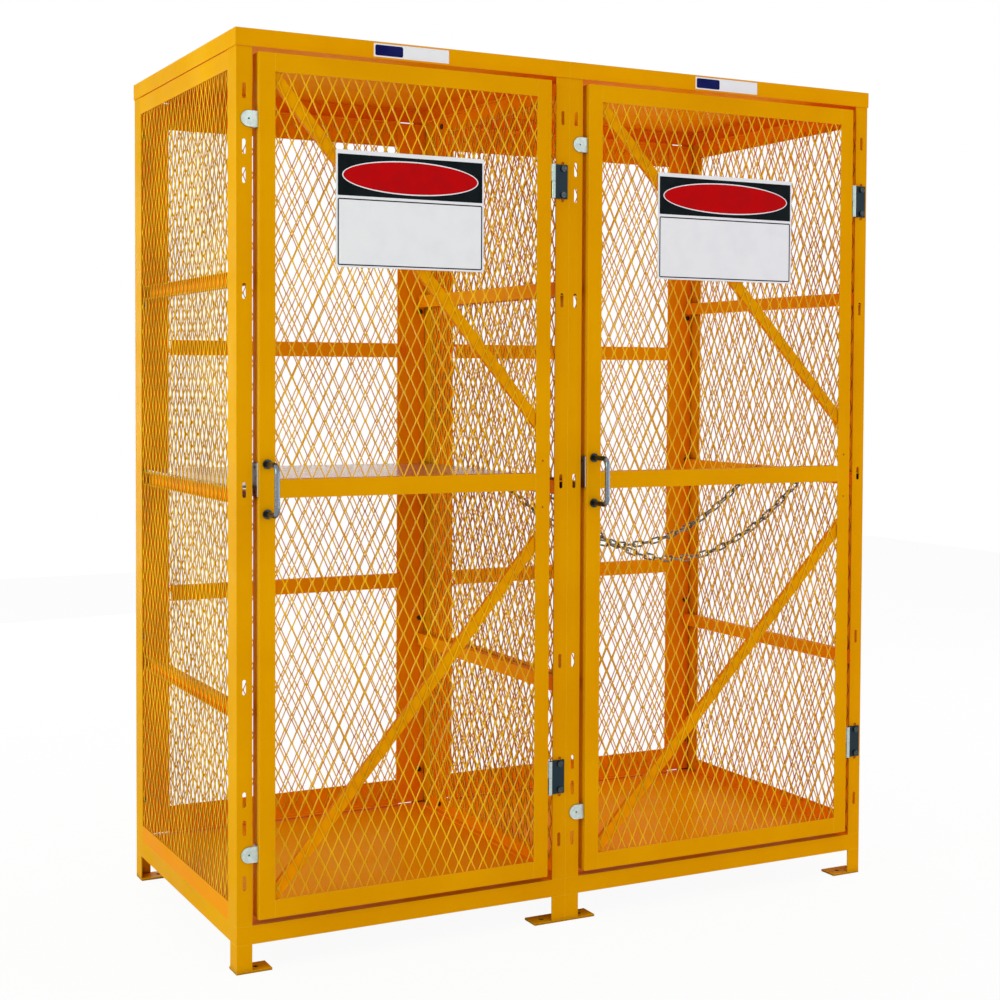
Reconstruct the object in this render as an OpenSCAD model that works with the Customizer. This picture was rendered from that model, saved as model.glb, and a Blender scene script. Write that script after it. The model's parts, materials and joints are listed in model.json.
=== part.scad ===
// Gas cylinder cage: two cabinets of folded sheet and expanded mesh, bolted side by side.
// The cabinet on the left has a shelf, the one on the right has two safety chains.
// Front faces -Y, up is +Z. The origin is on the floor under the middle of the whole cage.

/* [Cabinets] */
// Width of the left cabinet
left_w = 800; // [650:10:1000]
// Width of the right cabinet
right_w = 870; // [650:10:1000]
// Depth of both cabinets, from post face to back face
depth = 800; // [600:10:1000]
// Height from the floor to the roof
height = 2000; // [1700:10:2200]
// Thickness of the folded sheet
sheet = 3; // [2:0.5:4]

/* [Base] */
// Height of the top of the base frame
base_top = 102; // [80:1:140]
// Height of a base rail
base_rail_h = 40; // [30:1:50]
// Width of the bottom flange of a base rail
base_flange = 30; // [20:1:45]
// Flange of a leg along the front
leg_front = 35; // [25:1:45]
// Flange of a leg along the side
leg_side = 43; // [30:1:55]
// Length of a foot plate
foot_l = 80; // [60:1:110]
// Width of a foot plate
foot_w = 50; // [44:1:70]
// Thickness of a foot plate
foot_t = 5; // [4:0.5:8]
// Radius of the anchor hole in a foot plate
anchor_r = 6.5; // [4:0.5:8]

/* [Posts and roof] */
// Front and back flange of a corner post
post_front = 35; // [30:1:45]
// Side flange of a corner post
post_side = 56; // [45:1:70]
// Height of the skirt of the roof
roof_skirt = 37; // [25:1:60]
// Overhang of the roof at the front, the back and the outer sides
roof_over = 2; // [0:0.5:2]
// Width of a slot in a post
slot_w = 8.6; // [8.4:0.1:10]
// Length of a slot in a post
slot_l = 33; // [24:1:40]
// Distance of the slots from the corner
slot_in = 17.5; // [15:0.5:18.5]
// Number of evenly spaced slots in a post
slot_count = 5; // [3:1:7]
// Height of the lowest slot over the base frame
slot_low = 93; // [70:1:110]

/* [Walls] */
// Height of the top and bottom rails of the side walls
edge_rail_h = 40; // [30:1:55]
// Height of the rails across a side wall
side_rail_h = 32; // [24:1:45]
// Distance between the rails across a side wall
side_rail_pitch = 461; // [300:1:500]
// Depth of the rails across the walls
rail_d = 20; // [14:1:30]
// Height of the rails across the back wall
back_rail_h = 38; // [24:1:50]
// Height of the top and bottom rails of the back wall
back_edge_h = 64; // [40:1:90]
// Open seam over and under the back wall
back_seam = 4; // [1:1:8]
// Distance between the two rails across the back wall
back_rail_pitch = 625; // [300:5:800]
// Width of the flat stiles of the back wall
stile_w = 80; // [60:1:100]
// Thickness of the expanded mesh
mesh_t = 2; // [1.5:0.5:3]
// Width of a diamond
diamond_w = 110; // [100:1:150]
// Height of a diamond
diamond_h = 250; // [220:5:300]
// Width of a mesh strand
strand = 9; // [4:0.5:14]

/* [Doors] */
// Gap between a post's outer edge and the latch side of a door
latch_gap = 47; // [42:1:60]
// Gap between a post's outer edge and the hinge side of a door
hinge_gap = 53; // [52:1:60]
// Gap under the roof skirt
door_top_gap = 11; // [5:1:20]
// Gap over the base frame
door_foot_gap = 13; // [5:1:20]
// Face width of the stiles of a door
door_stile_w = 36; // [30:1:50]
// Face width of the rails of a door
door_rail_w = 39; // [30:1:50]
// Depth of a door
door_d = 40; // [30:1:44]
// Thickness of the folded sheet of a door
door_t = 2; // [1.5:0.5:3]
// How far the door face stands in front of the posts
door_proud = 10; // [8:1:14]
// Width of a door brace
brace_w = 26; // [18:1:36]
// Distance of the braces from the middle of the door
brace_end = 163; // [60:1:200]

/* [Handles and stops] */
// Distance between the feet of a handle
handle_pitch = 106; // [80:1:140]
// Reach of a handle in front of the door
handle_reach = 62; // [45:1:80]
// Radius of the handle's rod
handle_r = 6; // [5.5:0.5:8]
// Width of a door stop
stop_w = 37; // [36:1:42]
// Height of a door stop
stop_h = 34; // [26:1:40]
// Distance of the stops from the ends of the door
stop_in = 140; // [90:1:200]
// Height of the latch plate
latch_h = 72; // [50:1:90]

/* [Hinges] */
// Distance of each hinge from the middle of the door
hinge_out = 690; // [500:5:720]
// Height of a hinge
hinge_h = 78; // [72:1:90]
// Width of the hinge leaf on the post
leaf_w = 33; // [30:1:34]
// Distance between the bolts of a hinge
hinge_pitch = 60; // [50:1:62]
// Radius of a hinge barrel
barrel_r = 6; // [5:0.5:6.5]
// Radius of a hinge pin
pin_r = 4; // [3:0.5:4]

/* [Shelf and chains] */
// Height of the shelf's folded edge
shelf_lip = 6; // [5:1:40]
// Gap between the shelf and the walls
shelf_gap = 2; // [1:0.5:6]
// Thickness of a chain link's wire
link_wire = 5; // [4:0.5:6]
// Distance from one link to the next
link_pitch = 28; // [26:1:32]
// Free width inside a link
link_in = 8; // [7.5:0.5:10]
// Distance of the front chain from the front
chain_front_y = 200; // [150:5:300]
// Sag of the front chain
chain_front_sag = 205; // [100:5:260]
// Distance of the back chain from the front
chain_back_y = 430; // [350:5:650]
// Sag of the back chain
chain_back_sag = 190; // [100:5:260]

/* [Plates] */
// Width of the sign on the left door
left_sign_w = 355; // [200:5:450]
// Width of the sign on the right door
right_sign_w = 390; // [200:5:450]
// Height of a sign
sign_h = 252; // [150:2:300]
// Height of the middle of the signs over the middle of the door
sign_up = 601; // [400:1:700]
// Width of the plate on the roof
roof_plate_w = 180; // [100:5:250]

/* [Hidden] */
$fn = 48;

left = 0;
right = 1;
cab_x = [0, left_w];
cab_w = [left_w, right_w];
sign_w = [left_sign_w, right_sign_w];

bolt_r = 4;
bolt_clear = 0.3;
head_r = 7;
head_h = 4;
nut_h = 6;
play = 0.3;
fit = 0.06;

roof_low = height - roof_skirt;
post_h = roof_low - base_top;
base_low = base_top - base_rail_h;

door_low = base_top + door_foot_gap;
door_high = roof_low - door_top_gap;
door_mid = (door_low + door_high) / 2;
door_back = door_d - door_proud;
mesh_y = door_t - door_proud;
door_x0 = latch_gap;
handle_x = door_x0 + door_stile_w / 2;

wall_mid = (base_top + roof_low) / 2;
side_rail_drop = 15;
side_rail_z = [for (i = [-1:1]) wall_mid - side_rail_drop + i * side_rail_pitch];
back_rail_z = [for (i = [-1, 1]) wall_mid + i * back_rail_pitch / 2];
back_low = base_top + back_seam;
back_high = roof_low - back_seam;
roof_seam = 2;
side_high = roof_low - roof_seam;
join_in = 60;
join_y = [post_side + join_in, depth - post_side - join_in];
join_z = [base_top + edge_rail_h / 2, side_high - edge_rail_h / 2];
slot_z = [
  for (i = [0:slot_count - 1])
    base_top + slot_low + i * (post_h - 2 * slot_low) / (slot_count - 1)
];
hinge_z = [door_mid - hinge_out, door_mid + hinge_out];
hinge_slot_z = [for (z = hinge_z, s = [-1, 1]) z + s * hinge_pitch / 2];

barrel_y = -barrel_r;
leaf_t = 3;
leaf_edge = post_front + 4;
barrel_x = leaf_edge + barrel_r;

shelf_z = side_rail_z[1] + side_rail_h / 2;
chain_z = side_rail_z[1];
chain_in = sheet + mesh_t + rail_d;
eye_out = 15;

back_out = head_h;
front_out = door_proud + handle_reach + handle_r;
to_origin = [-(left_w + right_w) / 2, (front_out - depth - back_out) / 2, 0];

yellow = [0.87, 0.62, 0.06];
orange = [0.80, 0.48, 0.04];
zinc = [0.75, 0.77, 0.77];
dark_zinc = [0.30, 0.34, 0.36];
white = [0.90, 0.90, 0.91];

// Moves a sub-part of one cabinet to its place in the whole cage and paints it.
module placed(cab, paint) {
  color(paint) translate(to_origin + [cab_x[cab], 0, 0]) children();
}

// A profile drawn in Y and Z, run along X.
module along_x(x0, x1) {
  translate([x0, 0, 0]) rotate([90, 0, 90]) linear_extrude(x1 - x0) children();
}

// A profile drawn in X and Z, run along Y.
module along_y(y0, y1) {
  translate([0, y1, 0]) rotate([90, 0, 0]) linear_extrude(y1 - y0) children();
}

// The same piece on the left and on the right of a cabinet.
module both_sides(cab) {
  children();
  translate([cab_w[cab], 0, 0]) mirror([1, 0, 0]) children();
}

// The same piece at the front and at the back.
module front_and_back() {
  children();
  translate([0, depth, 0]) mirror([0, 1, 0]) children();
}

// A round bar or bore along Y.
module rod_y(x, z, y0, y1, r) {
  translate([x, y1, z]) rotate([90, 0, 0]) cylinder(h = y1 - y0, r = r);
}

// A round bar or bore along X.
module rod_x(y, z, x0, x1, r) {
  translate([x0, y, z]) rotate([0, 90, 0]) cylinder(h = x1 - x0, r = r);
}

// An upright slot through a flange that faces the front.
module slot(x, z, y0, y1) {
  straight = slot_l - slot_w;
  translate([x - slot_w / 2, y0, z - straight / 2]) cube([slot_w, y1 - y0, straight]);
  for (s = [-1, 1]) rod_y(x, z + s * straight / 2, y0, y1, slot_w / 2);
}

// An angle section with its corner at the origin.
module angle(a, b, t) {
  polygon([[0, 0], [a, 0], [a, t], [t, t], [t, b], [0, b]]);
}

// A channel section, open on the side at u = 0.
module channel(d, h, t) {
  polygon([[0, -h / 2], [d, -h / 2], [d, h / 2], [0, h / 2],
    [0, h / 2 - t], [d - t, h / 2 - t], [d - t, t - h / 2], [0, t - h / 2]]);
}

// A bolt along Y from its head at y, with a nut at the other side of the stack.
module bolt_y(x, z, y_head, y_nut) {
  way = y_nut > y_head ? 1 : -1;
  rod_y(x, z, min(y_head, y_head - way * head_h), max(y_head, y_head - way * head_h), head_r);
  rod_y(x, z, min(y_head, y_nut), max(y_head, y_nut), bolt_r);
  translate([x, way > 0 ? y_nut + nut_h : y_nut, z])
    rotate([90, 0, 0]) cylinder(h = nut_h, r = head_r, $fn = 6);
}

// A bolt along X, as above.
module bolt_x(y, z, x_head, x_nut) {
  way = x_nut > x_head ? 1 : -1;
  rod_x(y, z, min(x_head, x_head - way * head_h), max(x_head, x_head - way * head_h), head_r);
  rod_x(y, z, min(x_head, x_nut), max(x_head, x_nut), bolt_r);
  translate([way > 0 ? x_nut : x_nut - nut_h, y, z])
    rotate([0, 90, 0]) cylinder(h = nut_h, r = head_r, $fn = 6);
}

// Expanded mesh of a given width and height, drawn flat from its lower left corner.
module mesh_sheet(w, h) {
  border = 6;
  columns = max(2, round(w / diamond_w));
  rows = max(2, round(h / (diamond_h / 2)));
  pitch_u = w / columns;
  pitch_v = h / rows;
  half_u = pitch_u / 2 - strand / 2 * sqrt(1 + pow(pitch_u / 2 / pitch_v, 2));
  half_v = pitch_v - strand / 2 * sqrt(1 + pow(2 * pitch_v / pitch_u, 2));
  difference() {
    square([w, h]);
    intersection() {
      translate([border, border]) square([w - 2 * border, h - 2 * border]);
      union() {
        for (row = [0:rows])
          for (column = [0:columns - 1 + row % 2]) {
            u = (column + 0.5 - (row % 2) / 2) * pitch_u;
            v = row * pitch_v;
            polygon([[u - half_u, v], [u, v - half_v], [u + half_u, v], [u, v + half_v]]);
          }
      }
    }
  }
}

module base_rails(cab) {
  w = cab_w[cab];
  placed(cab, yellow) {
    front_and_back() along_x(0, w) translate([0, base_low]) angle(base_flange, base_rail_h, sheet);
    both_sides(cab) {
      along_y(sheet, depth - sheet) translate([0, base_low + sheet])
        square([sheet, base_rail_h - sheet]);
      along_y(base_flange, depth - base_flange) translate([0, base_low])
        square([base_flange, sheet]);
    }
  }
}

module legs(cab) {
  placed(cab, yellow) front_and_back() both_sides(cab)
    translate([0, 0, foot_t]) linear_extrude(base_low - foot_t)
      angle(leg_front, leg_side, sheet);
}

module foot_plates(cab) {
  anchor_in = 30;
  placed(cab, yellow) front_and_back() both_sides(cab) difference() {
    cube([foot_l, foot_w, foot_t]);
    translate([foot_l - anchor_in, foot_w / 2, -1]) cylinder(h = foot_t + 2, r = anchor_r);
  }
}

// The floor is a folded tray, upside down, that lies in the base rails.
module floor_tray(cab) {
  w = cab_w[cab];
  edge = sheet + play;
  low = base_low + sheet;
  placed(cab, yellow) translate([edge, edge, low]) difference() {
    cube([w - 2 * edge, depth - 2 * edge, base_top - low]);
    translate([sheet, sheet, -sheet])
      cube([w - 2 * edge - 2 * sheet, depth - 2 * edge - 2 * sheet, base_top - low]);
  }
}

// Front posts have slots in their front flange, back posts have round holes.
module posts(cab) {
  placed(cab, yellow) {
    both_sides(cab) difference() {
      translate([0, 0, base_top]) linear_extrude(post_h) angle(post_front, post_side, sheet);
      for (z = concat(slot_z, hinge_slot_z)) slot(slot_in, z, -1, sheet + 1);
    }
    both_sides(cab) difference() {
      translate([0, depth, base_top]) mirror([0, 1, 0]) linear_extrude(post_h)
        angle(post_front, post_side, sheet);
      for (z = slot_z) rod_y(slot_in, z, depth - sheet - 1, depth + 1, bolt_r + bolt_clear);
    }
  }
}

// A cap on the posts. Its skirt overhangs, but not between the cabinets.
module roof(cab) {
  w = cab_w[cab] + roof_over;
  d = depth + 2 * roof_over;
  x0 = cab == left ? -roof_over : 0;
  roof_t = max(sheet, roof_over + 1);
  placed(cab, yellow) translate([x0, -roof_over, roof_low]) difference() {
    cube([w, d, roof_skirt]);
    translate([roof_t, roof_t, -roof_t]) cube([w - 2 * roof_t, d - 2 * roof_t, roof_skirt]);
  }
}

module roof_plate(cab) {
  plate_t = 1;
  edge = 4;
  placed(cab, white)
    translate([(cab_w[cab] - roof_plate_w) / 2, -roof_over - plate_t, roof_low + edge])
      cube([roof_plate_w, plate_t, roof_skirt - 2 * edge]);
}

// Top and bottom rails of the side walls, flush with the posts, bolted at the seam.
module side_edge_rails(cab) {
  y0 = post_side;
  y1 = depth - post_side;
  seam_x = cab == left ? cab_w[cab] : 0;
  placed(cab, yellow) difference() {
    both_sides(cab) {
      along_y(y0, y1) translate([0, base_top]) angle(rail_d, edge_rail_h, sheet);
      along_y(y0, y1) translate([0, side_high]) mirror([0, 1]) angle(rail_d, edge_rail_h, sheet);
    }
    for (z = join_z, y = join_y)
      rod_x(y, z, seam_x - sheet - 1, seam_x + sheet + 1, bolt_r + bolt_clear);
  }
}

// Channels across the inside of the side mesh.
module side_rails(cab) {
  back_stop = 2 * sheet + mesh_t + nut_h + 4;
  placed(cab, yellow) both_sides(cab)
    for (z = side_rail_z)
      along_y(sheet, depth - back_stop)
        translate([sheet + mesh_t, z]) channel(rail_d, side_rail_h, sheet - 1);
}

// Mesh behind the post flanges of one side wall.
module side_mesh() {
  border = 12;
  y0 = post_side - border;
  z0 = base_top + edge_rail_h - border;
  z1 = side_high - edge_rail_h + border;
  translate([sheet, y0, z0]) rotate([90, 0, 90])
    linear_extrude(mesh_t) mesh_sheet(depth - 2 * y0, z1 - z0);
}

module mesh_on_left(cab) {
  placed(cab, orange) side_mesh();
}

module mesh_on_right(cab) {
  placed(cab, orange) translate([cab_w[cab], 0, 0]) mirror([1, 0, 0]) side_mesh();
}

// Wide flat stiles inside the back mesh, bolted to the back posts.
module back_stiles(cab) {
  y0 = depth - sheet - mesh_t - sheet;
  placed(cab, yellow) both_sides(cab) difference() {
    translate([sheet + play, y0, back_low]) cube([stile_w, sheet, back_high - back_low]);
    for (z = slot_z) rod_y(slot_in, z, y0 - 1, y0 + sheet + 1, bolt_r + bolt_clear);
  }
}

// Top and bottom rails flush with the back posts, and two channels between the stiles.
module back_rails(cab) {
  w = cab_w[cab];
  stile_x = sheet + play + stile_w;
  placed(cab, yellow) {
    along_x(post_front, w - post_front) translate([depth - sheet, back_low])
      square([sheet, back_edge_h]);
    along_x(stile_x, w - stile_x) translate([depth - rail_d - sheet, back_low])
      square([rail_d, sheet]);
    along_x(post_front, w - post_front) translate([depth - sheet, back_high - back_edge_h])
      square([sheet, back_edge_h]);
    along_x(stile_x, w - stile_x) translate([depth - rail_d - sheet, back_high - sheet])
      square([rail_d, sheet]);
    for (z = back_rail_z)
      along_x(stile_x, w - stile_x) translate([depth - sheet - mesh_t, z])
        mirror([1, 0]) channel(rail_d, back_rail_h, sheet - 1);
  }
}

// Mesh over the inner faces of the back posts and rails.
module back_mesh(cab) {
  border = 8;
  free = 10;
  x0 = post_front - border;
  z0 = back_low + sheet + free;
  z1 = back_high - sheet - free;
  placed(cab, orange) translate([x0, depth - sheet, z0]) rotate([90, 0, 0])
    linear_extrude(mesh_t) mesh_sheet(cab_w[cab] - 2 * x0, z1 - z0);
}

// Door sizes of one cabinet.
function door_x1(cab) = cab_w[cab] - hinge_gap;
function opening_w(cab) = door_x1(cab) - door_x0 - 2 * door_stile_w;

// Folded angles whose outer flanges close the sides of a door.
module door_stiles(cab) {
  hole_r = 3;
  hole_low = 5;
  placed(cab, yellow) {
    difference() {
      translate([door_x0, -door_proud, door_low])
        linear_extrude(door_high - door_low) angle(door_stile_w, door_d, door_t);
      for (s = [-1, 1])
        rod_y(handle_x, door_mid + s * handle_pitch / 2, -door_proud - 1, door_t + 1 - door_proud,
          bolt_r + bolt_clear);
    }
    difference() {
      translate([door_x1(cab), -door_proud, door_low]) mirror([1, 0, 0])
        linear_extrude(door_high - door_low) angle(door_stile_w, door_d, door_t);
      for (s = [-1, 1])
        rod_y(door_x1(cab) - door_stile_w / 2, door_mid + s * handle_pitch / 2 - hole_low,
          -door_proud - 1, door_t + 1 - door_proud, hole_r);
    }
  }
}

// Angles at the top and at the bottom of a door, and a channel across its middle.
module door_rails(cab) {
  x0 = door_x0 + door_stile_w;
  x1 = door_x1(cab) - door_stile_w;
  placed(cab, yellow) {
    for (s = [0, 1]) translate([0, 0, s == 0 ? door_low : door_high]) mirror([0, 0, s]) {
      along_x(x0, x1) translate([-door_proud, 0]) square([door_t, door_rail_w]);
      along_x(door_x0 + door_t, door_x1(cab) - door_t) translate([mesh_y, 0])
        square([door_d - door_t, door_t]);
    }
    along_x(x0, x1) translate([door_back, door_mid]) mirror([1, 0])
      channel(door_d, door_rail_w, door_t);
  }
}

// Two slanted angles behind the mesh, from the latch-side corners to the hinge side.
module door_braces(cab) {
  brace_t = 2;
  brace_d = 12;
  corner_cut = 10;
  behind = 20;
  run = opening_w(cab);
  high = (door_high - door_low) / 2 - door_rail_w;
  slope = atan2(high + corner_cut - brace_end, run);
  y0 = mesh_y + mesh_t;
  placed(cab, yellow) translate([door_x0 + door_stile_w, 0, door_mid])
    for (s = [0, 1]) mirror([0, 0, s]) intersection() {
      translate([0, y0, high + corner_cut]) rotate([0, slope, 0]) difference() {
        translate([-run, 0, -brace_w]) cube([4 * run, brace_d, brace_w]);
        translate([-2 * run, brace_t, brace_t - brace_w]) cube([6 * run, brace_d, 2 * brace_w]);
      }
      translate([-behind, y0 - 1, door_rail_w / 2])
        cube([run + 2 * behind, brace_d + 2, high + behind - door_rail_w / 2]);
    }
}

// One sheet of mesh above and one below the bar, behind the faces of the frame.
module door_mesh(cab) {
  border = 8;
  x0 = door_x0 + door_stile_w - border;
  w = opening_w(cab) + 2 * border;
  h = (door_high - door_low - 3 * door_rail_w) / 2 + border;
  placed(cab, orange)
    for (z = [door_low + door_rail_w - border, door_mid + door_rail_w / 2])
      translate([x0, mesh_y + mesh_t, z]) rotate([90, 0, 0]) linear_extrude(mesh_t)
        mesh_sheet(w, h);
}

// Half-round plates that lie over the post when the door is shut.
module door_stops(cab) {
  side_l = 22;
  hole_r = 2;
  reach = stop_w - stop_h / 2;
  y0 = -sheet - play;
  placed(cab, zinc)
    for (z = [door_low + stop_in, door_high - stop_in]) difference() {
      union() {
        rod_y(door_x0 - reach, z, y0, -play, stop_h / 2);
        translate([door_x0 - reach, y0, z - stop_h / 2]) cube([reach, sheet, stop_h]);
        translate([door_x0 - sheet, y0, z - stop_h / 2]) cube([sheet, side_l, stop_h]);
      }
      rod_y(door_x0 - reach, z, y0 - 1, 1, hole_r);
    }
}

// A bent rod with two collars that stand on the door.
module handle(cab) {
  bend = 18;
  collar_r = 10;
  collar_t = 4;
  bore_l = 14;
  half = handle_pitch / 2;
  placed(cab, dark_zinc) translate([handle_x, -door_proud, door_mid])
    difference() {
      union() {
        for (s = [-1, 1]) {
          rod_y(0, s * half, bend - handle_reach, 0, handle_r);
          rod_y(0, s * half, -collar_t, 0, collar_r);
          translate([0, bend - handle_reach, s * (half - bend)])
            rotate([0, -90, 0]) rotate([0, 0, s > 0 ? -90 : 180])
              rotate_extrude(angle = 90) translate([bend, 0]) circle(r = handle_r);
        }
        translate([0, -handle_reach, bend - half]) cylinder(h = 2 * (half - bend), r = handle_r);
      }
      for (s = [-1, 1]) rod_y(0, s * half, -bore_l, 1, bolt_r + fit);
    }
}

// Bolts from the back of the door's face into the feet of the handle.
module handle_bolts(cab) {
  into = 12;
  placed(cab, zinc)
    for (z = [door_mid - handle_pitch / 2, door_mid + handle_pitch / 2]) {
      rod_y(handle_x, z, -door_proud - into, mesh_y, bolt_r);
      rod_y(handle_x, z, mesh_y, mesh_y + head_h, head_r);
    }
}

// Leaf on the post with the lower barrel and the pin.
module hinge_post_leaves(cab) {
  x1 = cab_w[cab] - leaf_edge;
  pin_end = 2;
  placed(cab, dark_zinc)
    for (z = hinge_z) difference() {
      union() {
        translate([x1, -leaf_t, z - hinge_h / 2]) cube([leaf_w, leaf_t, hinge_h]);
        translate([x1 - barrel_r, -leaf_t, z - hinge_h / 2])
          cube([barrel_r + 1, leaf_t, hinge_h / 2 - play]);
        translate([cab_w[cab] - barrel_x, barrel_y, z - hinge_h / 2])
          cylinder(h = hinge_h / 2 - play, r = barrel_r);
        translate([cab_w[cab] - barrel_x, barrel_y, z - 1])
          cylinder(h = hinge_h / 2 + 1 - pin_end, r = pin_r);
      }
      for (s = [-1, 1])
        rod_y(cab_w[cab] - slot_in, z + s * hinge_pitch / 2, -leaf_t - 1, 1,
          bolt_r + bolt_clear);
    }
}

// Upper barrel with a leaf welded to the side of the door.
module hinge_door_leaves(cab) {
  axis_x = cab_w[cab] - barrel_x;
  leaf_back = 16;
  placed(cab, dark_zinc)
    for (z = hinge_z) difference() {
      union() {
        translate([axis_x, barrel_y, z + play]) cylinder(h = hinge_h / 2 - play, r = barrel_r);
        translate([door_x1(cab), barrel_y - 2, z + play])
          cube([axis_x - door_x1(cab) - pin_r - 1, leaf_back, hinge_h / 2 - play]);
      }
      translate([axis_x, barrel_y, z - 1]) cylinder(h = hinge_h, r = pin_r + fit);
    }
}

module hinge_bolts(cab) {
  placed(cab, zinc)
    for (z = hinge_slot_z) bolt_y(cab_w[cab] - slot_in, z, -leaf_t, sheet);
}

// Thin plate on the latch side of the door.
module latch_plate(cab) {
  plate_t = 3;
  screw_r = 3;
  screw_in = 10;
  edge = 4;
  up = 20;
  placed(cab, zinc)
    translate([door_x0 - plate_t, edge - door_proud, door_mid + up]) difference() {
      translate([0, 0, -latch_h / 2]) cube([plate_t, door_d - 2 * edge, latch_h]);
      for (s = [-1, 1])
        rod_x(door_d / 2 - edge, s * (latch_h / 2 - screw_in), -1, plate_t + 1, screw_r);
    }
}

// Flat plate in front of the door mesh.
module sign(cab) {
  plate_t = 2;
  x_mid = (door_x0 + door_x1(cab)) / 2;
  placed(cab, white)
    translate([x_mid - sign_w[cab] / 2, mesh_y - plate_t, door_mid + sign_up - sign_h / 2])
      cube([sign_w[cab], plate_t, sign_h]);
}

// Bolts of the back wall.
module panel_bolts(cab) {
  placed(cab, zinc) both_sides(cab)
    for (z = slot_z) bolt_y(slot_in, z, depth, depth - 2 * sheet - mesh_t);
}

// Bolts that hold the two cabinets together, at the rails between them.
module joining_bolts() {
  placed(right, zinc)
    for (z = join_z, y = join_y) bolt_x(y, z, -sheet, sheet);
}

// A folded tray, upside down, on the middle side rails.
module shelf() {
  front_gap = 12;
  wall = sheet + mesh_t + shelf_gap;
  front = door_back + front_gap;
  back = depth - sheet - mesh_t - rail_d - shelf_gap;
  placed(left, zinc) translate([wall, front, shelf_z]) difference() {
    cube([left_w - 2 * wall, back - front, shelf_lip]);
    translate([sheet, sheet, -sheet])
      cube([left_w - 2 * wall - 2 * sheet, back - front - 2 * sheet, shelf_lip]);
  }
}

// Hanging chain: length of a shallow arc from its lowest point to t, and its inverse.
function arc_length(a, t) = (t * sqrt(1 + a * a * t * t) + ln(a * t + sqrt(1 + a * a * t * t)) / a) / 2;
function arc_place(a, s, t, steps) =
  steps == 0 ? t : arc_place(a, s, t - (arc_length(a, t) - s) / sqrt(1 + a * a * t * t), steps - 1);

// A link of round wire, as long inside as the step to the next link.
module link(step) {
  mid_r = (link_in + link_wire) / 2;
  straight = round(50 * (step + play + link_wire - 2 * mid_r)) / 50;
  for (s = [0, 180]) rotate([0, 0, s]) {
    translate([straight / 2, 0, 0]) rotate([0, 0, -90])
      rotate_extrude(angle = 180, $fn = 24) translate([mid_r, 0]) circle(d = link_wire, $fn = 16);
    translate([-straight / 2, mid_r, 0]) rotate([0, 90, 0])
      cylinder(h = straight, d = link_wire, $fn = 16);
  }
}

// Half of the span of a chain, and how its arc bends.
function chain_half(cab) = cab_w[cab] / 2 - chain_in - eye_out;
function chain_bend(cab, sag) = 2 * sag / pow(chain_half(cab), 2);

// Chain across a cabinet between two eyes, in the plane at y. Every other link is turned.
module chain(cab, y, sag) {
  half = chain_half(cab);
  a = chain_bend(cab, sag);
  total = 2 * arc_length(a, half);
  links = 2 * round((total / link_pitch - 1) / 2) + 1;
  step = total / links;
  low = chain_z - sag;
  placed(cab, zinc)
    for (i = [0:links - 1]) {
      t0 = arc_place(a, i * step - total / 2, (i / links - 0.5) * 2 * half, 8);
      t1 = arc_place(a, (i + 1) * step - total / 2, ((i + 1) / links - 0.5) * 2 * half, 8);
      z0 = low + a * t0 * t0 / 2;
      z1 = low + a * t1 * t1 / 2;
      translate([cab_w[cab] / 2 + (t0 + t1) / 2, y, (z0 + z1) / 2])
        rotate([i % 2 * 90, -atan2(z1 - z0, t1 - t0), 0]) link(step);
    }
}

// Staples on the middle side rails. The last link of a chain hangs in the bend of each.
module chain_eye(cab, y, sag) {
  plate_r = 12;
  plate_t = 3;
  bend_r = 7;
  dip = atan(chain_bend(cab, sag) * chain_half(cab));
  back = bend_r - link_wire / 2;
  leg = eye_out - round(10 * back * cos(dip)) / 10;
  rise = round(10 * back * sin(dip)) / 10;
  translate([chain_in, y, chain_z + rise]) {
    rotate([0, 90, 0]) cylinder(h = plate_t, r = plate_r);
    for (s = [-1, 1]) translate([0, 0, s * bend_r]) rotate([0, 90, 0])
      cylinder(h = leg, d = link_wire, $fn = 24);
    translate([leg, 0, 0]) rotate([90, 0, 0]) rotate([0, 0, -90])
      rotate_extrude(angle = 180) translate([bend_r, 0]) circle(d = link_wire, $fn = 24);
  }
}

module chain_eyes(cab) {
  placed(cab, zinc) both_sides(cab) {
    chain_eye(cab, chain_front_y, chain_front_sag);
    chain_eye(cab, chain_back_y, chain_back_sag);
  }
}

base_rails(left);  // left_base_rails
legs(left);  // left_legs
foot_plates(left);  // left_foot_plates
floor_tray(left);  // left_floor_tray
posts(left);  // left_posts
roof(left);  // left_roof
roof_plate(left);  // left_roof_plate
side_edge_rails(left);  // left_side_edge_rails
side_rails(left);  // left_side_rails
mesh_on_left(left);  // left_outer_mesh
mesh_on_right(left);  // left_inner_mesh
back_stiles(left);  // left_back_stiles
back_rails(left);  // left_back_rails
back_mesh(left);  // left_back_mesh
door_stiles(left);  // left_door_stiles
door_rails(left);  // left_door_rails
door_braces(left);  // left_door_braces
door_mesh(left);  // left_door_mesh
door_stops(left);  // left_door_stops
handle(left);  // left_handle
handle_bolts(left);  // left_handle_bolts
hinge_post_leaves(left);  // left_hinge_post_leaves
hinge_door_leaves(left);  // left_hinge_door_leaves
hinge_bolts(left);  // left_hinge_bolts
latch_plate(left);  // left_latch_plate
sign(left);  // left_sign
panel_bolts(left);  // left_panel_bolts
base_rails(right);  // right_base_rails
legs(right);  // right_legs
foot_plates(right);  // right_foot_plates
floor_tray(right);  // right_floor_tray
posts(right);  // right_posts
roof(right);  // right_roof
roof_plate(right);  // right_roof_plate
side_edge_rails(right);  // right_side_edge_rails
side_rails(right);  // right_side_rails
mesh_on_left(right);  // right_inner_mesh
mesh_on_right(right);  // right_outer_mesh
back_stiles(right);  // right_back_stiles
back_rails(right);  // right_back_rails
back_mesh(right);  // right_back_mesh
door_stiles(right);  // right_door_stiles
door_rails(right);  // right_door_rails
door_braces(right);  // right_door_braces
door_mesh(right);  // right_door_mesh
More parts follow.
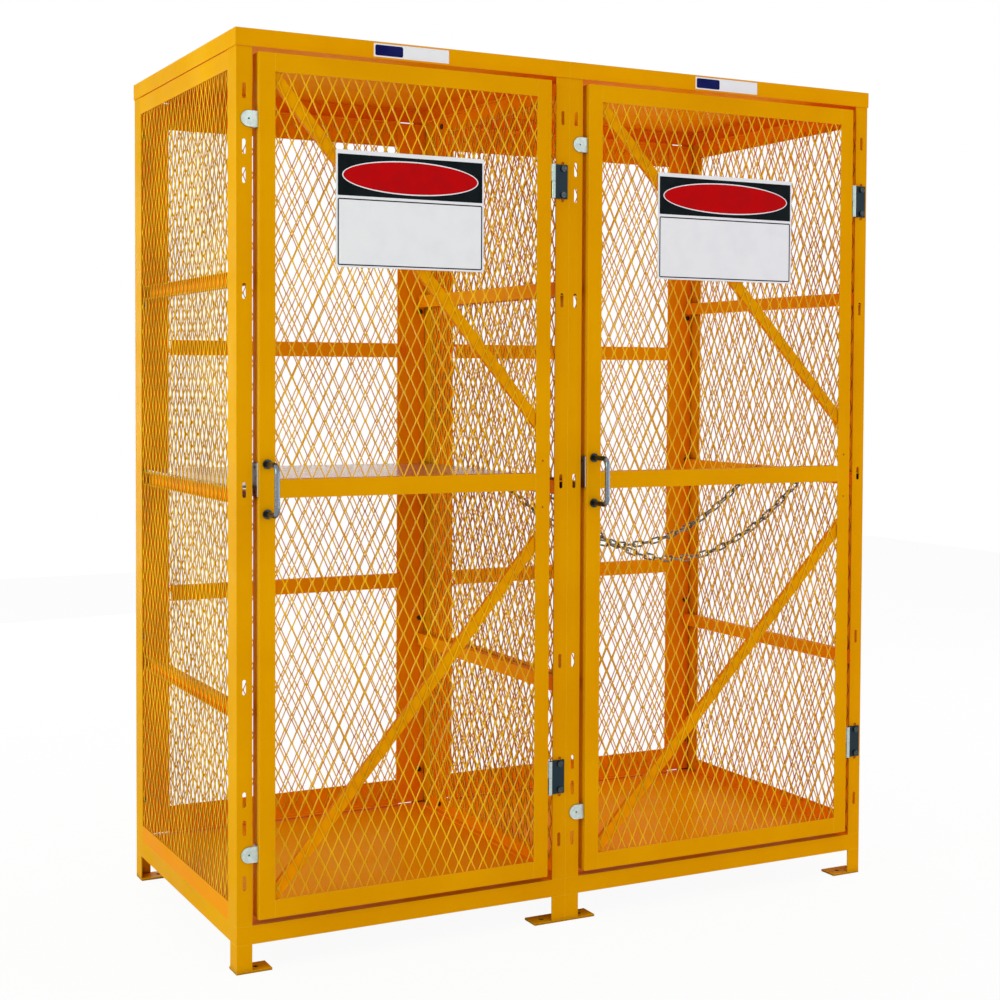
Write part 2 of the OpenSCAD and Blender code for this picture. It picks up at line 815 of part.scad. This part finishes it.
door_stops(right);  // right_door_stops
handle(right);  // right_handle
handle_bolts(right);  // right_handle_bolts
hinge_post_leaves(right);  // right_hinge_post_leaves
hinge_door_leaves(right);  // right_hinge_door_leaves
hinge_bolts(right);  // right_hinge_bolts
latch_plate(right);  // right_latch_plate
sign(right);  // right_sign
panel_bolts(right);  // right_panel_bolts
shelf();  // left_shelf
chain(right, chain_front_y, chain_front_sag);  // right_chain_front
chain(right, chain_back_y, chain_back_sag);  // right_chain_back
chain_eyes(right);  // right_chain_eyes
joining_bolts();
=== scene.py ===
"""Looks of the gas cylinder cage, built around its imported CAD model.

Metres, in the frame of the model: +Z up, the doors face -Y, the left cabinet is on the -X side.
"""
import json
import math

import bpy
from mathutils import Matrix, Vector


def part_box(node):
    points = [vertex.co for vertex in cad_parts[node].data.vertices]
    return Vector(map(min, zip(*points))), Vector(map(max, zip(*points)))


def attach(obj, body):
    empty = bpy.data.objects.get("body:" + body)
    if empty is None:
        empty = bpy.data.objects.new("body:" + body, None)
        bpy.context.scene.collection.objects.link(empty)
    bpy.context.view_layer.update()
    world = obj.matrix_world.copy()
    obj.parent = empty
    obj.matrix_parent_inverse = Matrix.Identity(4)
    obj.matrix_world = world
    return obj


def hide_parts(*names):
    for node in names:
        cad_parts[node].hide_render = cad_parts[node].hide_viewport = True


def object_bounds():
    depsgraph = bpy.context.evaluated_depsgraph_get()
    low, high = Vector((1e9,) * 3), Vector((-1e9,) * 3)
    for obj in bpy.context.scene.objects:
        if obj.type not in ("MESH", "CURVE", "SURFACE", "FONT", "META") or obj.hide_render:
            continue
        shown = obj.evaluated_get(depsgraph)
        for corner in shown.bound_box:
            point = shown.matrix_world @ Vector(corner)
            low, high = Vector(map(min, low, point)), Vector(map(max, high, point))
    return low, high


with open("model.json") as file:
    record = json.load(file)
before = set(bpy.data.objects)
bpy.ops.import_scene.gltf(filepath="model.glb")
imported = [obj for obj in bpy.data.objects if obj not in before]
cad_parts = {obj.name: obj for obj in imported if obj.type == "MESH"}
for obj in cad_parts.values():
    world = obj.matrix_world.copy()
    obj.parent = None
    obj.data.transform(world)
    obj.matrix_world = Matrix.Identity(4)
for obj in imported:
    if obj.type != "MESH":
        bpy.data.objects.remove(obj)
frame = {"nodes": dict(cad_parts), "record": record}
cad_low, cad_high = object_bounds()

MM = 0.001
SIDES = ("left", "right")
CAD = frame["nodes"]

# Expanded metal: its diamonds stand upright.
DIAMOND_W = 30 * MM
DIAMOND_H = 61 * MM
STRAND_W = 2.9 * MM
STRAND_T = 1.4 * MM
BOND = 4 * MM
STRAND_TILT = math.radians(15)
DOOR_BAR = 39 * MM

# Print on the signs and on the plates of the roof.
PRINT_T = 0.2 * MM
SIGN_MARGIN = 4 * MM
SIGN_TOP = 9 * MM
SIGN_R = 1 * MM
BLACK_H = 89 * MM
OVAL_H = 74 * MM
OVAL_IN = 10 * MM
OVAL_EDGE = 2.6 * MM
BORDER_GAP = 6 * MM
BORDER_LINE = 2.6 * MM
CORNER_R = 4 * MM
BADGE_IN = 3 * MM
BADGE_W = 66 * MM


# Materials

def srgb(red, green, blue):
    """Linear colour of an sRGB colour in 0 to 255."""
    def linear(value):
        value /= 255
        return value / 12.92 if value <= 0.04045 else ((value + 0.055) / 1.055) ** 2.4
    return (linear(red), linear(green), linear(blue), 1)


# Painted shade: a dark red-brown in the narrow gaps between parts.
GAP_PAINTED_SHADE = srgb(84, 22, 10)
# Painted bounce light: a saturated orange for the parts inside the cabinet, where other faces shade
# them.
INSIDE_PAINTED_BOUNCE = srgb(255, 138, 0)
# Painted highlight: a pale yellow along the edges of the faces.
EDGE_PAINTED_HIGHLIGHT = srgb(255, 202, 50)
GAP_SHADE_REACH = 26 * MM
INSIDE_BOUNCE_REACH = 600 * MM


class Finish:
    """A Principled material that is built up from textures in object space."""

    def __init__(self, name, rough, metal=0.0, shine=0.5):
        self.mat = bpy.data.materials.new(name)
        self.mat.use_nodes = True
        self.tree = self.mat.node_tree
        self.shader = self.tree.nodes["Principled BSDF"]
        self.shader.inputs["Roughness"].default_value = rough
        self.shader.inputs["Metallic"].default_value = metal
        self.shader.inputs["Specular IOR Level"].default_value = shine
        self.where = self.tree.nodes.new("ShaderNodeTexCoord").outputs["Object"]
        self.normal = None

    def feed(self, socket, value):
        """A link to a socket, or a constant on it."""
        if isinstance(value, bpy.types.NodeSocket):
            self.tree.links.new(value, socket)
        else:
            socket.default_value = value

    def node(self, kind, inputs=(), **settings):
        """A new shader node with its settings and inputs."""
        made = self.tree.nodes.new("ShaderNode" + kind)
        for key, value in settings.items():
            setattr(made, key, value)
        for key, value in dict(inputs).items():
            self.feed(made.inputs[key], value)
        return made

    def noise(self, scale, detail=3.0, stretch=(1, 1, 1)):
        """Clouds with so many lumps in a metre."""
        place = self.node("Mapping", {"Vector": self.where, "Scale": stretch})
        return self.node("TexNoise", {"Vector": place.outputs[0], "Scale": scale,
                                      "Detail": detail}).outputs["Fac"]

    def cells(self, scale):
        """Grains that each have one value, so many in a metre."""
        grains = self.node("TexVoronoi", {"Vector": self.where, "Scale": scale})
        return self.node("SeparateColor", {"Color": grains.outputs["Color"]}).outputs["Red"]

    def along(self, axis, start, end):
        """A number that grows from 0 to 1 between two places along X, Y or Z."""
        place = self.node("SeparateXYZ", {"Vector": self.where}).outputs[axis]
        return self.node("MapRange", {"Value": place, "From Min": start, "From Max": end}).outputs[0]

    def between(self, fac, low, high, at_low=0.35, at_high=0.65):
        """From one number or colour to another, as a texture goes from at_low to at_high."""
        fac = self.node("MapRange", {"Value": fac, "From Min": at_low, "From Max": at_high})
        if isinstance(low, (int, float)):
            return self.node("MapRange", {"Value": fac.outputs[0], "To Min": low,
                                          "To Max": high}).outputs[0]
        mix = self.node("Mix", data_type="RGBA")
        share_in, low_in, high_in = (mix.inputs[i] for i in (0, 6, 7))
        self.feed(share_in, fac.outputs[0])
        self.feed(low_in, low)
        self.feed(high_in, high)
        return mix.outputs[2]

    def painted_occlusion_tint(self, colour, other, distance, closed, free):
        """Painted shade and painted bounce light: a colour that turns into another one where faces
        stand before the surface, as ambient occlusion finds them.
        """
        near = self.node("AmbientOcclusion", {"Distance": distance}, samples=4)
        return self.between(near.outputs["AO"], other, colour, closed, free)

    def painted_edge_highlight(self, colour, highlight, radius):
        """Painted highlight: a colour that turns paler along the edges of the faces, as if their
        round edges caught the light.
        """
        round_normal = self.node("Bevel", {"Radius": radius}, samples=4).outputs[0]
        flat_normal = self.node("NewGeometry").outputs["Normal"]
        same = self.node("VectorMath", {0: round_normal, 1: flat_normal},
                         operation="DOT_PRODUCT").outputs["Value"]
        return self.between(same, highlight, colour, 0.82, 0.99)

    def colour(self, socket):
        """Sets the base colour."""
        self.tree.links.new(socket, self.shader.inputs["Base Color"])

    def roughness(self, socket):
        """Sets the roughness."""
        self.tree.links.new(socket, self.shader.inputs["Roughness"])

    def soft_edges(self, radius):
        """Catches light on the edges, as if they were round."""
        self.normal = self.node("Bevel", {"Radius": radius}, samples=4).outputs[0]
        self.tree.links.new(self.normal, self.shader.inputs["Normal"])

    def bump(self, height, strength, distance):
        """Small hills on top of the soft edges."""
        inputs = {"Height": height, "Strength": strength, "Distance": distance}
        if self.normal:
            inputs["Normal"] = self.normal
        self.normal = self.node("Bump", inputs).outputs[0]
        self.tree.links.new(self.normal, self.shader.inputs["Normal"])


def powder_coat(name, colour, shade, edges=True, inside=False, shine=0.006):
    """Semi-gloss powder coat: clouds in the colour, orange peel, a little dust in the shine.

    With edges, the coat has a painted highlight along its edges and painted shade in its gaps.
    Inside, the gaps aren't dark: they have painted bounce light, the warm tint of the yellow faces
    round them.
    """
    coat = Finish(name, 0.38, shine=shine)
    clouds = coat.between(coat.noise(5, 4), shade, colour)
    specks = coat.between(coat.noise(420, 2), 0.0, 1.0, 0.66, 0.74)
    colours = coat.between(specks, clouds, shade, 0, 2)
    if inside:
        # Painted bounce light: the parts inside turn saturated orange where other faces shade them.
        colours = coat.painted_occlusion_tint(colours, INSIDE_PAINTED_BOUNCE, INSIDE_BOUNCE_REACH, 0.4, 1.0)
    elif edges:
        # Painted shade: the coat turns dark red-brown in the narrow gaps between parts.
        colours = coat.painted_occlusion_tint(colours, GAP_PAINTED_SHADE, GAP_SHADE_REACH, 0.28, 0.78)
    if edges:
        # Painted highlight: the coat turns pale yellow along the edges of the faces.
        colours = coat.painted_edge_highlight(colours, EDGE_PAINTED_HIGHLIGHT, 1.5 * MM)
    coat.colour(colours)
    coat.roughness(coat.between(coat.noise(14, 5), 0.30, 0.46))
    if edges:
        coat.soft_edges(1.2 * MM)
    coat.bump(coat.noise(700, 1), 0.12, 0.3 * MM)
    return coat.mat


def zinc(name, bright, dull, rough, grain, metal=0.9):
    """Plated or galvanised steel: pale and dark grains, faint scratches."""
    plate = Finish(name, rough, metal=metal)
    grains = plate.between(plate.cells(grain), dull, bright, 0, 1)
    stains = plate.between(plate.noise(60, 4), 0.0, 1.0, 0.55, 0.8)
    plate.colour(plate.between(stains, grains, dull, 0, 1.6))
    plate.roughness(plate.between(plate.noise(180, 3, (1, 1, 0.2)), rough - 0.08, rough + 0.12))
    plate.soft_edges(0.6 * MM)
    plate.bump(plate.noise(900, 2), 0.1, 0.1 * MM)
    return plate.mat


def steel_with_wear_and_painted_light(name, axis, node, reach, bright, dark, rough):
    """Dark plated steel, paler within reach of the low side of a node along an axis: wear and a
    painted highlight on the handle's bar, a painted highlight on the hinge leaves' left side and on
    the latch plate's front, with painted shade behind it.
    """
    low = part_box(node)[0]["XYZ".index(axis)]
    steel = Finish(name, rough, metal=0.85)
    grains = steel.between(steel.noise(240, 4), 0.8, 1.0)
    # Paler near the low side: wear and a painted highlight on the handle, painted light on the latch
    # and the hinges.
    rubbed_and_lit = steel.node("Math", {0: steel.along(axis, low + reach, low + 0.8 * reach), 1: grains},
                        operation="MULTIPLY").outputs[0]
    steel.colour(steel.between(rubbed_and_lit, dark, bright, 0, 1))
    steel.roughness(steel.between(steel.noise(300, 3), rough - 0.06, rough + 0.1))
    steel.soft_edges(0.6 * MM)
    return steel.mat


def printed(name, colour, faded):
    """Print or plain film on a sign: even, a little chalky in places."""
    film = Finish(name, 0.42, shine=0.03)
    film.colour(film.between(film.noise(25, 5), faded, colour, 0.3, 0.6))
    film.roughness(film.between(film.noise(90, 3), 0.36, 0.5))
    film.bump(film.noise(1400, 1), 0.05, 0.1 * MM)
    return film.mat


YELLOW = powder_coat("frame_coat", srgb(240, 164, 0), srgb(234, 156, 0))
# A slightly paler copy of the frame coat for the parts behind the mesh walls, with painted bounce
# light in their shade.
INNER_YELLOW_PAINTED_BOUNCE = powder_coat("inner_coat_painted_bounce", srgb(244, 166, 0), srgb(238, 158, 0), inside=True)
MESH_YELLOW = powder_coat("mesh_coat", srgb(248, 184, 4), srgb(222, 152, 0),
                          edges=False, shine=0.1)
# Painted shade: the narrow cut edges and ends of the strands are a darker brown, as if in shade.
MESH_EDGE_PAINTED_SHADE = powder_coat("mesh_edges_painted_shade", srgb(186, 112, 0), srgb(128, 68, 4),
                         edges=False, shine=0.1)
ZINC_PLATE = zinc("zinc_plate", srgb(208, 220, 218), srgb(188, 200, 198),
                  rough=0.38, grain=160, metal=0.55)
ZINC_BOLT = zinc("zinc_bolt", srgb(88, 96, 98), srgb(34, 42, 46), rough=0.24, grain=900)
ZINC_CHAIN = zinc("chain_zinc", srgb(160, 158, 140), srgb(74, 70, 58), rough=0.32, grain=260)
# The shelf's zinc is tinted warm: a painted reflection of the yellow coat round it.
SHELF_ZINC = zinc("shelf_zinc", srgb(208, 184, 168), srgb(188, 164, 150),
                  rough=0.22, grain=45, metal=0.8)
# The handle's bar is paler than its arms: partly wear from hands, partly a painted highlight.
HANDLE_STEEL = steel_with_wear_and_painted_light("handle_steel", "Y", "left_handle", reach=14 * MM,
                    bright=srgb(124, 132, 146), dark=srgb(40, 50, 58), rough=0.2)
# The latch plate is pale only along its front: painted shade behind it, in the gap beside the post.
LATCH_STEEL = steel_with_wear_and_painted_light("latch_steel", "Y", "left_latch_plate", reach=3 * MM,
                   bright=srgb(214, 208, 200), dark=srgb(62, 44, 40), rough=0.35)
# The hinges are pale on their left side: a painted highlight where the key light falls.
HINGE_STEEL = {
    side: steel_with_wear_and_painted_light(side + "_hinge_steel", "X", side + "_hinge_post_leaves", reach=9 * MM,
               bright=srgb(190, 202, 202), dark=srgb(34, 48, 56), rough=0.4)
    for side in SIDES
}
WHITE = printed("sign_white", srgb(248, 243, 252), srgb(244, 239, 249))
BLACK = printed("sign_black", srgb(14, 20, 24), srgb(24, 30, 34))
RED = printed("sign_red", srgb(200, 4, 10), srgb(186, 8, 14))
NAVY = printed("sign_navy", srgb(16, 20, 86), srgb(28, 34, 96))

BY_SLOT = {
    "frame_coat": YELLOW, "mesh_coat": MESH_YELLOW, "plate_coat": WHITE, "sign_coat": WHITE,
    "hinge_steel": HINGE_STEEL["left"], "handle_steel": HANDLE_STEEL, "zinc_plate": ZINC_PLATE,
    "zinc_bolt": ZINC_BOLT, "shelf_zinc": SHELF_ZINC, "chain_zinc": ZINC_CHAIN,
}
for part in frame["record"]["subparts"]:
    CAD[part["node"]].data.materials.clear()
    CAD[part["node"]].data.materials.append(BY_SLOT[part["material_slot"]])

# Parts that stand behind the mesh walls; they take the paler inner coat, with its painted bounce
# light.
INNER = ("side_rails", "side_edge_rails", "back_rails", "back_stiles", "roof", "door_braces",
         "floor_tray")
for side in SIDES:
    for part in INNER:
        CAD[side + "_" + part].data.materials[0] = INNER_YELLOW_PAINTED_BOUNCE
    CAD[side + "_latch_plate"].data.materials[0] = LATCH_STEEL
    for leaf in ("_hinge_post_leaves", "_hinge_door_leaves"):
        CAD[side + leaf].data.materials[0] = HINGE_STEEL[side]


# Shapes

def piece(name, body, verts, faces, materials, face_material):
    """A mesh piece, drawn in the frame of the model, that rides on a body."""
    mesh = bpy.data.meshes.new(name)
    mesh.from_pydata(verts, [], faces)
    for material in materials:
        mesh.materials.append(material)
    mesh.polygons.foreach_set("material_index", face_material)
    mesh.validate()
    obj = bpy.data.objects.new(name, mesh)
    bpy.context.scene.collection.objects.link(obj)
    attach(obj, body)
    return obj


class Wall:
    """A mesh wall: where a point lies that is a distance across, up and out from its middle."""

    def __init__(self, node):
        self.low, self.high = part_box(node)
        size = self.high - self.low
        self.thin = 0 if size.x < size.y else 1
        self.across = 1 - self.thin
        self.width = size[self.across]
        self.middle = (self.low[self.thin] + self.high[self.thin]) / 2

    def point(self, across, up, out):
        place = [0, 0, up]
        place[self.across] = self.low[self.across] + across
        place[self.thin] = self.middle + out
        return place


class Strands:
    """Zigzag strands of a flat section, tilted in the wall, gathered into one mesh."""

    def __init__(self, wall):
        self.wall = wall
        self.along = Vector((math.cos(STRAND_TILT), -math.sin(STRAND_TILT))) * STRAND_W / 2
        through = Vector((math.sin(STRAND_TILT), math.cos(STRAND_TILT))) * STRAND_T / 2
        self.corners = (self.along + through, -self.along + through,
                        -self.along - through, self.along - through)
        self.verts, self.faces, self.coats = [], [], []

    def ring(self, across, up, side):
        """A section whose right (1) or left (-1) face touches a place across."""
        centre = Vector((across, 0)) - side * self.along
        self.verts += [self.wall.point(centre.x + corner.x, up, centre.y + corner.y)
                       for corner in self.corners]

    def skin(self, rings):
        """Faces round the last so many rings: flats in coat 0, cut edges and ends in coat 1, which
        has painted shade.
        """
        last = len(self.verts) - 4
        first = last - 4 * (rings - 1)
        for a in range(first, last, 4):
            for i in range(4):
                j = (i + 1) % 4
                self.faces.append((a + i, a + j, a + j + 4, a + i + 4))
                self.coats.append(i % 2)
        self.faces.append((first + 3, first + 2, first + 1, first))
        self.faces.append((last, last + 1, last + 2, last + 3))
        self.coats += [1, 1]


def expanded_metal(name, body, node, bands, phase=0):
    """Upright zigzag strands, side by side, that touch in their bonds.

    Each band is (low, high) in Z, and phase 1 turns the zigzag round.
    """
    wall = Wall(node)
    count = 2 * round(wall.width / DIAMOND_W)
    step = wall.width / count
    mesh = Strands(wall)
    for low, high in bands:
        rows = round((high - low) / (DIAMOND_H / 2))
        row_h = (high - low) / rows
        for strand in range(count):
            for row in range(rows + 1):
                right = (strand + row + phase) % 2
                for end in (-BOND / 2, BOND / 2):
                    up = min(max(low + row * row_h + end, low), high)
                    mesh.ring((strand + right) * step, up, 1 if right else -1)
            mesh.skin(2 * (rows + 1))
    obj = piece(name, body, mesh.verts, mesh.faces, [MESH_YELLOW, MESH_EDGE_PAINTED_SHADE],
                mesh.coats)
    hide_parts(node)


def rounded(width, height, radius, steps=5):
    """Corner points of a rectangle round the origin, with round corners."""
    points = []
    for quarter, (x, z) in enumerate(((1, 1), (-1, 1), (-1, -1), (1, -1))):
        for i in range(steps + 1):
            a = math.pi / 2 * (quarter + i / steps)
            points.append((x * (width / 2 - radius) + radius * math.cos(a),
                           z * (height / 2 - radius) + radius * math.sin(a)))
    return points


def oval(width, height, steps=72):
    """Points of an ellipse round the origin."""
    return [(width / 2 * math.cos(2 * math.pi * i / steps),
             height / 2 * math.sin(2 * math.pi * i / steps)) for i in range(steps)]


class Print:
    """Thin raised fields on the front of a plate, gathered into one piece."""

    def __init__(self, node):
        self.low, self.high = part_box(node)
        self.verts, self.faces, self.index = [], [], []

    def put(self, outline, x, z, height):
        """Points of an outline, so high before the plate, as a range of their numbers."""
        first = len(self.verts)
        for px, pz in outline:
            self.verts.append((x + px, self.low.y - height, z + pz))
        return range(first, len(self.verts))

    def field(self, outline, x, z, layer, material):
        """A full field, whose front is so many layers of print before the plate."""
        front = self.put(outline, x, z, layer * PRINT_T)
        back = self.put(outline, x, z, (layer - 1) * PRINT_T)
        count = len(outline)
        faces = [tuple(front), tuple(reversed(back))]
        faces += [(front[i], back[i], back[(i + 1) % count], front[(i + 1) % count])
                  for i in range(count)]
        self.faces += faces
        self.index += [material] * len(faces)

    def line(self, outer, inner, x, z, layer, material):
        """A closed line between an outer and an inner outline of as many points."""
        rings = [self.put(outline, x, z, (layer - behind) * PRINT_T)
                 for outline, behind in ((outer, 0), (inner, 0), (inner, 1), (outer, 1))]
        count = len(outer)
        faces = []
        for k in range(4):
            a, b = rings[k], rings[(k + 1) % 4]
            faces += [(a[i], a[(i + 1) % count], b[(i + 1) % count], b[i]) for i in range(count)]
        self.faces += faces
        self.index += [material] * len(faces)

    def make(self, name, body, materials):
        """The piece itself, which takes its place among the others."""
        piece(name, body, self.verts, self.faces, materials, self.index)


# Pieces

def mesh_walls(side):
    """The four walls of a cabinet in expanded metal, the door's above and below its bar."""
    for wall in ("outer_mesh", "inner_mesh", "back_mesh"):
        low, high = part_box(side + "_" + wall)
        expanded_metal(side + "_fine_" + wall, "root", side + "_" + wall, [(low.z, high.z)],
                       SIDES.index(side))
    low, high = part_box(side + "_door_mesh")
    bar = (low.z + high.z) / 2
    expanded_metal(side + "_fine_door_mesh", side + "_door", side + "_door_mesh",
                   [(low.z, bar - DOOR_BAR / 2), (bar + DOOR_BAR / 2, high.z)])


def sign_print(side):
    """A black field with a red oval, and a thin border below it."""
    sign = Print(side + "_sign")
    middle = (sign.low.x + sign.high.x) / 2
    width = sign.high.x - sign.low.x - 2 * SIGN_MARGIN
    black_z = sign.high.z - SIGN_TOP - BLACK_H / 2
    oval_w = width - 2 * OVAL_IN
    border_high = black_z - BLACK_H / 2 - BORDER_GAP
    border_low = sign.low.z + SIGN_MARGIN
    border_h = border_high - border_low
    sign.field(rounded(width, BLACK_H, SIGN_R), middle, black_z, 1, 0)
    sign.field(oval(oval_w, OVAL_H), middle, black_z, 2, 1)
    sign.field(oval(oval_w - 2 * OVAL_EDGE, OVAL_H - 2 * OVAL_EDGE), middle, black_z, 3, 2)
    sign.line(rounded(width, border_h, CORNER_R),
              rounded(width - 2 * BORDER_LINE, border_h - 2 * BORDER_LINE, CORNER_R - BORDER_LINE),
              middle, (border_high + border_low) / 2, 1, 0)
    sign.make(side + "_sign_print", side + "_door", [BLACK, WHITE, RED])


def badge_print(side):
    """A dark blue field at the left end of the plate on the roof."""
    badge = Print(side + "_roof_plate")
    height = badge.high.z - badge.low.z - 2 * BADGE_IN
    badge.field(rounded(BADGE_W, height, CORNER_R), badge.low.x + BADGE_IN + BADGE_W / 2,
                (badge.low.z + badge.high.z) / 2, 1, 0)
    badge.make(side + "_roof_plate_print", "root", [NAVY])


for side in SIDES:
    mesh_walls(side)
    sign_print(side)
    badge_print(side)


# Floor and light

FLOOR_SIZE = 14
FLOOR_GREY = (0.86, 0.86, 0.86, 1)
FLOOR_GLOW = 0.94
PURE_WHITE = (1, 1, 1, 1)
SKY_STRENGTH = 0.6


def shows_background(tree):
    """A socket that is 1 for the rays that should see the bare background."""
    path = tree.nodes.new("ShaderNodeLightPath")
    total = path.outputs["Is Camera Ray"]
    for other in ("Is Glossy Ray", "Is Transmission Ray"):
        add = tree.nodes.new("ShaderNodeMath")
        add.operation = "MAXIMUM"
        tree.links.new(total, add.inputs[0])
        tree.links.new(path.outputs[other], add.inputs[1])
        total = add.outputs[0]
    return total


def mixed(tree, share, first, second, target):
    """A mix of two shaders, linked to the output that a tree has."""
    mix = tree.nodes.new("ShaderNodeMixShader")
    tree.links.new(share, mix.inputs[0])
    tree.links.new(first.outputs[0], mix.inputs[1])
    tree.links.new(second.outputs[0], mix.inputs[2])
    tree.links.new(mix.outputs[0], tree.nodes[target].inputs["Surface"])


def pale_floor():
    """A white floor that keeps shadows, and glows a little for the camera."""
    mat = bpy.data.materials.new("pale_floor")
    mat.use_nodes = True
    tree = mat.node_tree
    shader = tree.nodes["Principled BSDF"]
    shader.inputs["Base Color"].default_value = FLOOR_GREY
    shader.inputs["Roughness"].default_value = 0.9
    shader.inputs["Specular IOR Level"].default_value = 0.1
    glow = tree.nodes.new("ShaderNodeEmission")
    glow.inputs["Strength"].default_value = 1.0
    share = tree.nodes.new("ShaderNodeMath")
    share.operation = "MULTIPLY"
    share.inputs[1].default_value = FLOOR_GLOW
    tree.links.new(shows_background(tree), share.inputs[0])
    mixed(tree, share.outputs[0], shader, glow, "Material Output")
    return mat


def studio_world():
    """Soft light from all round, before a plain white background."""
    world = bpy.data.worlds.new("studio")
    world.use_nodes = True
    tree = world.node_tree
    soft = tree.nodes["Background"]
    soft.inputs["Color"].default_value = PURE_WHITE
    soft.inputs["Strength"].default_value = SKY_STRENGTH
    plain = tree.nodes.new("ShaderNodeBackground")
    plain.inputs["Color"].default_value = PURE_WHITE
    plain.inputs["Strength"].default_value = 1.0
    mixed(tree, shows_background(tree), soft, plain, "World Output")
    return world


def lamp(name, place, size, watts, colour=(1, 1, 1)):
    """A square soft light that shines at the middle of the model."""
    light = bpy.data.lights.new(name, "AREA")
    light.shape = "SQUARE"
    light.size = size
    light.energy = watts
    light.color = colour
    obj = bpy.data.objects.new(name, light)
    obj.location = place
    aim = (cad_low + cad_high) / 2 - Vector(place)
    obj.rotation_euler = aim.to_track_quat("-Z", "Y").to_euler()
    bpy.context.scene.collection.objects.link(obj)


bpy.ops.mesh.primitive_plane_add(size=FLOOR_SIZE, location=(0, 0, 0))
floor = bpy.context.object
floor.name = "floor"
floor.data.materials.append(pale_floor())
bpy.context.scene.world = studio_world()

lamp("key", place=(-4.6, -1.2, 2.3), size=2.4, watts=100, colour=(0.66, 1.0, 0.62))
lamp("front", place=(2.4, -8.5, 1.4), size=4.0, watts=62)
lamp("top", place=(0.4, 0.3, 5.0), size=3.0, watts=26)
lamp("right", place=(4.8, -0.3, 1.2), size=2.4, watts=100)
lamp("back", place=(-0.6, 5.0, 1.0), size=2.4, watts=90)


# Camera

# Fitted to the upright and level edges in the photograph, whose pixels are the unit of _PX.
PHOTO_PX = 1000
SENSOR = 36
FOCAL_PX = 1673.9
AXIS_PX = (508.7, 435.0)
CAMERA_PLACE = (-1.9514, -3.7434, 1.2691)
YAW = math.radians(27.527)
PITCH = math.radians(1.916)
ROLL = math.radians(0.274)


def camera_turn():
    """The turn of a camera that looks along the yaw and down by the pitch, rolled a little."""
    ahead = Vector((math.sin(YAW) * math.cos(PITCH), math.cos(YAW) * math.cos(PITCH),
                    -math.sin(PITCH)))
    level = Vector((math.cos(YAW), -math.sin(YAW), 0))
    upright = level.cross(ahead)
    right = level * math.cos(ROLL) + upright * math.sin(ROLL)
    upward = upright * math.cos(ROLL) - level * math.sin(ROLL)
    return Matrix((right, upward, -ahead)).transposed()


camera = bpy.data.objects.new("camera", bpy.data.cameras.new("camera"))
bpy.context.scene.collection.objects.link(camera)
camera.data.sensor_width = SENSOR
camera.data.lens = FOCAL_PX / PHOTO_PX * SENSOR
camera.data.shift_x = 0.5 - AXIS_PX[0] / PHOTO_PX
camera.data.shift_y = AXIS_PX[1] / PHOTO_PX - 0.5
camera.matrix_world = Matrix.Translation(CAMERA_PLACE) @ camera_turn().to_4x4()
bpy.context.scene.camera = camera
bpy.context.scene.view_settings.view_transform = "Standard"

bpy.context.view_layer.update()
